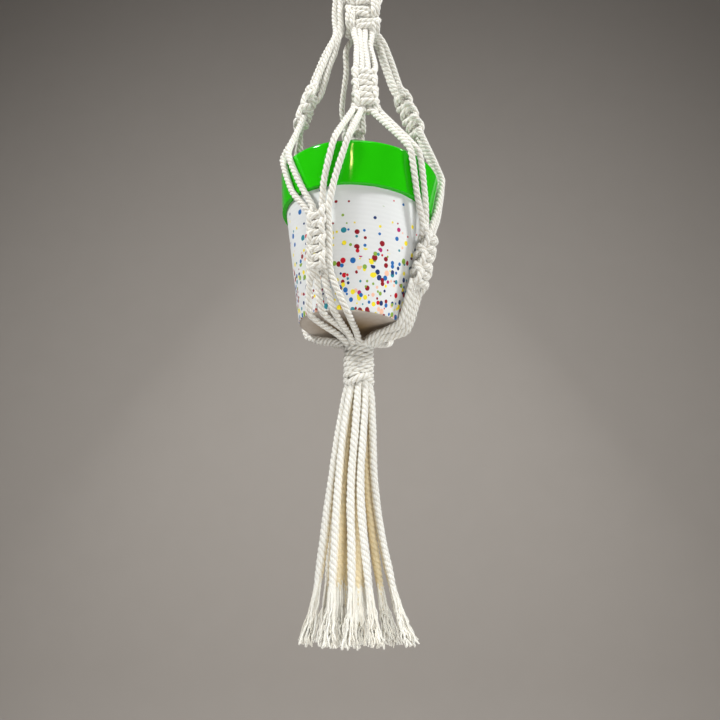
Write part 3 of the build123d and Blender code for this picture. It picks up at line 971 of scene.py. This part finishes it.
def gathering_wrap():
    """A cord wound tightly down the bundle. Its lower turns slant, and the last crosses over them."""
    parts = MeshParts()
    radius = WRAP_R - CORD_R + 0.8
    control = [on_hanger(100.0, radius * 0.4, WRAP_HIGH + 1.0)]
    for i in range(int(WRAP_TURNS * WRAP_POINTS_PER_TURN) + 1):
        t = i / WRAP_POINTS_PER_TURN
        angle = WRAP_START_ANGLE + 360.0 * t
        slant = (0.3 + 1.1 * t / WRAP_TURNS) * math.sin(math.radians(angle - 20.0))
        height = WRAP_HIGH - 1.2 - (WRAP_HIGH - WRAP_LOW - 4.0) * t / WRAP_TURNS - slant
        control.append(on_hanger(angle, radius + 0.15 * math.sin(2.1 * t), height))
    last = WRAP_START_ANGLE + 360.0 * WRAP_TURNS
    for step, (outwards, height) in enumerate(WRAP_END):
        control.append(on_hanger(last + 26.0 * (step + 1), radius + outwards, height))
    add_rope(parts, control, radius=CORD_R * 1.02)
    finish_piece(parts.build("gathering_wrap_cord"), "hanger", "gathering_wrap")


# ---- Tassel ----
FRAY_TOP = 112.0  # depth below the wrap where the plies start to come apart
FRAY_LENGTH = 23.5
YARNS_PER_STRAND = 30
YARN_R = 0.47
TASSEL_AXIS = on_hanger(0, 0, WRAP_LOW)


def tassel_point(index, depth):
    """Where this strand is at this depth below the wrap."""
    angles, radii = zip(*TASSEL_ROUTES[index])
    radius = np.interp(depth, TASSEL_DEPTHS, radii)
    angle = np.interp(depth, TASSEL_DEPTHS, angles)
    sway = np.interp(depth, TASSEL_DEPTHS, TASSEL_SWAY)
    return on_hanger(angle, radius, WRAP_LOW - depth) + np.array([sway, 0.0, 0.0])


def add_yarn(parts, control, radius):
    """A thin loose yarn, round, its thickness waving a little along it."""
    line, along = even_steps(smooth_line(control), 1.3)
    normals, binormals = carried_frames(line)
    theta = np.linspace(0.0, 2 * math.pi, 6, endpoint=False)
    taper = radius * (1.0 + 0.18 * np.sin(along * 1.9 + rng.uniform(0, 6)))
    rings = (
        line[:, None, :]
        + (taper[:, None] * np.cos(theta))[..., None] * normals[:, None, :]
        + (taper[:, None] * np.sin(theta))[..., None] * binormals[:, None, :]
    )
    shade = np.full((len(line), len(theta)), rng.uniform(0.0, 0.5))
    parts.add_tube(rings, theta / (2 * math.pi), along, shade)


def frayed_end(index, name):
    """The loose yarns of a strand's end: packed at the top, fanning out and waving below."""
    parts = MeshParts()
    top = tassel_point(index, FRAY_TOP - 6.0)
    opening = tassel_point(index, FRAY_TOP + 6.0)
    low = tassel_point(index, TASSEL_DEPTHS[-1])
    drop = unit(low - opening)
    angle, reach = TASSEL_ROUTES[index][-1]
    outwards = around(angle, 1.0, 0.0)
    across = np.cross(outwards, drop)
    for i in range(YARNS_PER_STRAND):
        turn = 2 * math.pi * (i * 0.618 + rng.uniform(-0.05, 0.05))
        spread = math.sqrt((i + 0.5) / YARNS_PER_STRAND)
        place = outwards * math.cos(turn) * spread + across * math.sin(turn) * spread
        splay = 1.0 + 0.6 * max(0.0, rng.normal() - 0.4) * (1.0 if reach > 15 else 0.4)
        reach_down = FRAY_LENGTH * rng.uniform(0.84, 1.0)
        waves = [rng.uniform(-1.0, 1.0, 3) for _ in range(9)]
        control = [top + place * 1.2, opening - drop * 4.0 + place * 1.8]
        for k, wave in enumerate(waves):
            share = (k + 1) / len(waves)
            fan = 1.8 + (1.6 * share + 0.9 * share**2) * splay
            flare = outwards * 0.8 * share**2 * (reach / 20.0)
            middle = opening + drop * (reach_down * share)
            control.append(middle + place * fan + flare + wave * (0.6 + 0.5 * share))
        add_yarn(parts, control, YARN_R * rng.uniform(0.85, 1.2))
    piece = parts.build(name + "_frayed_yarns")
    piece.data.materials.append(YARN)
    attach(piece, "tassel")
    return piece


def untwisting(share):
    """Width of a strand along its length: full, then hidden inside its loose yarns."""
    return np.interp(share, [0.0, 0.05, 0.35, 0.78, 0.85, 1.0], [1.0, 1.10, 1.18, 1.22, 1.0, 0.5])


def tassel_strand(index):
    name = f"tassel_strand_{index + 1:02d}"
    route = [tassel_point(index, depth) for depth in TASSEL_DEPTHS]
    angle, radius = TASSEL_ROUTES[index][0]
    route.insert(0, on_hanger(angle, radius * 0.62, WRAP_LOW + 6.0))
    parts = MeshParts()
    # The inner strands get painted warm shade, as deep in the bundle.
    bundle_shade = 0.8 if radius < 5.0 else 0.0
    line = add_rope(parts, route, squeeze=untwisting, axis=TASSEL_AXIS, bundle_shade=bundle_shade, slack=0.28)
    piece = parts.build(name + "_rope")
    piece.data.materials.append(COTTON)
    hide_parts(name)
    yarns = frayed_end(index, name)
    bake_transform(piece)


# ---- Build ----
ring_bights()
top_knot()
for arm_name in ARMS:
    arm_cords(arm_name)
    arm_knot(arm_name)
    rim_cords(arm_name)
for knot_name in LOWER_KNOTS:
    lower_knot(knot_name)
    cradle_cords(knot_name)
gathering_wrap()
for strand in range(len(TASSEL_ROUTES)):
    tassel_strand(strand)
paint_node("hanging_ring", WOOD)
paint_node("clay_pot", CLAY)


# ---- Studio ----
FLOOR_Z = -1.15
BACKDROP_Y = 1.35
BACKDROP_R = 0.45


def stage_material():
    material, tree, shader = new_material("studio_paper")
    grain = noise(tree, object_place(tree), 14.0)
    color = mix_colors(tree, grain, (0.415, 0.38, 0.35), (0.435, 0.40, 0.37))
    tree.links.new(color, shader.inputs["Base Color"])
    shader.inputs["Roughness"].default_value = 0.9
    return material


def studio():
    """A pale floor that curves up into a backdrop behind the planter."""
    profile = [(-2.2, FLOOR_Z), (BACKDROP_Y - BACKDROP_R, FLOOR_Z)]
    for i in range(1, 17):
        a = math.radians(90.0 * i / 16)
        y = BACKDROP_Y - BACKDROP_R + BACKDROP_R * math.sin(a)
        profile.append((y, FLOOR_Z + BACKDROP_R * (1 - math.cos(a))))
    profile.append((BACKDROP_Y, 2.2))
    verts = []
    faces = []
    for x in (-3.0, 3.0):
        verts += [(x, y, z) for y, z in profile]
    n = len(profile)
    for i in range(n - 1):
        faces.append((i, n + i, n + i + 1, i + 1))
    mesh = bpy.data.meshes.new("studio_sweep")
    mesh.from_pydata(verts, [], faces)
    mesh.polygons.foreach_set("use_smooth", [True] * len(mesh.polygons))
    mesh.materials.append(stage_material())
    sweep = bpy.data.objects.new("studio_sweep", mesh)
    bpy.context.collection.objects.link(sweep)


POT_AIM = (0.0, 0.0, BASE_Z * MM)
TASSEL_AIM = (0.0, 0.0, -0.24)
LIGHTS = [
    # Name, place, aim, size and power, in metres and watts, colour, and whether it shows in gloss
    ("key_left", (-0.85, -0.42, 0.42), POT_AIM, (0.17, 0.17), 13.5, (0.995, 1.0, 0.99), True),
    ("key_right", (0.85, -0.38, 0.40), POT_AIM, (0.17, 0.17), 10.5, (0.995, 1.0, 0.99), True),
    ("front_high", (-0.05, -0.55, 0.45), POT_AIM, (0.5, 0.4), 2.2, (0.995, 1.0, 0.985), True),
    ("fill_low", (0.25, -0.85, -0.95), POT_AIM, (0.7, 0.5), 7.6, (0.995, 1.0, 0.985), True),
    ("back_left", (-0.85, 0.75, 0.30), POT_AIM, (0.5, 0.5), 5.0, (0.99, 1.0, 0.98), False),
    ("back_right", (0.85, 0.75, 0.30), POT_AIM, (0.5, 0.5), 5.0, (0.99, 1.0, 0.98), False),
    ("warm_lamp", (-0.17, -0.95, 0.085), TASSEL_AIM, (0.035, 0.02), 0.22, (1.0, 0.72, 0.28), True),
]


def area_light(name, place, aim, size, power, color, in_gloss):
    data = bpy.data.lights.new(name, "AREA")
    data.shape = "RECTANGLE"
    data.size, data.size_y = size
    data.energy = power
    data.color = color
    lamp = bpy.data.objects.new(name, data)
    lamp.location = place
    lamp.rotation_mode = "QUATERNION"
    lamp.rotation_quaternion = (Vector(aim) - Vector(place)).to_track_quat("-Z", "Y")
    lamp.visible_glossy = in_gloss
    bpy.context.collection.objects.link(lamp)


def lights():
    for light in LIGHTS:
        area_light(*light)
    world = bpy.data.worlds.new("studio_world")
    bpy.context.scene.world = world
    world.use_nodes = True
    background = world.node_tree.nodes["Background"]
    background.inputs["Color"].default_value = (0.82, 0.80, 0.78, 1.0)
    background.inputs["Strength"].default_value = 0.08
    bpy.context.scene.view_settings.view_transform = "Standard"


CAMERA_PLACE = (0.7, -412.0, BASE_Z - 135.8)
CAMERA_PITCH = 15.71
CAMERA_LENS = 36.0


def camera():
    data = bpy.data.cameras.new("camera")
    data.lens = CAMERA_LENS
    data.sensor_width = 36.0
    data.clip_start = 0.01
    holder = bpy.data.objects.new("camera", data)
    holder.location = Vector(CAMERA_PLACE) * MM
    holder.rotation_euler = (math.radians(90.0 + CAMERA_PITCH), 0.0, 0.0)
    bpy.context.collection.objects.link(holder)
    bpy.context.scene.camera = holder


studio()
lights()
camera()
bpy.context.view_layer.update()
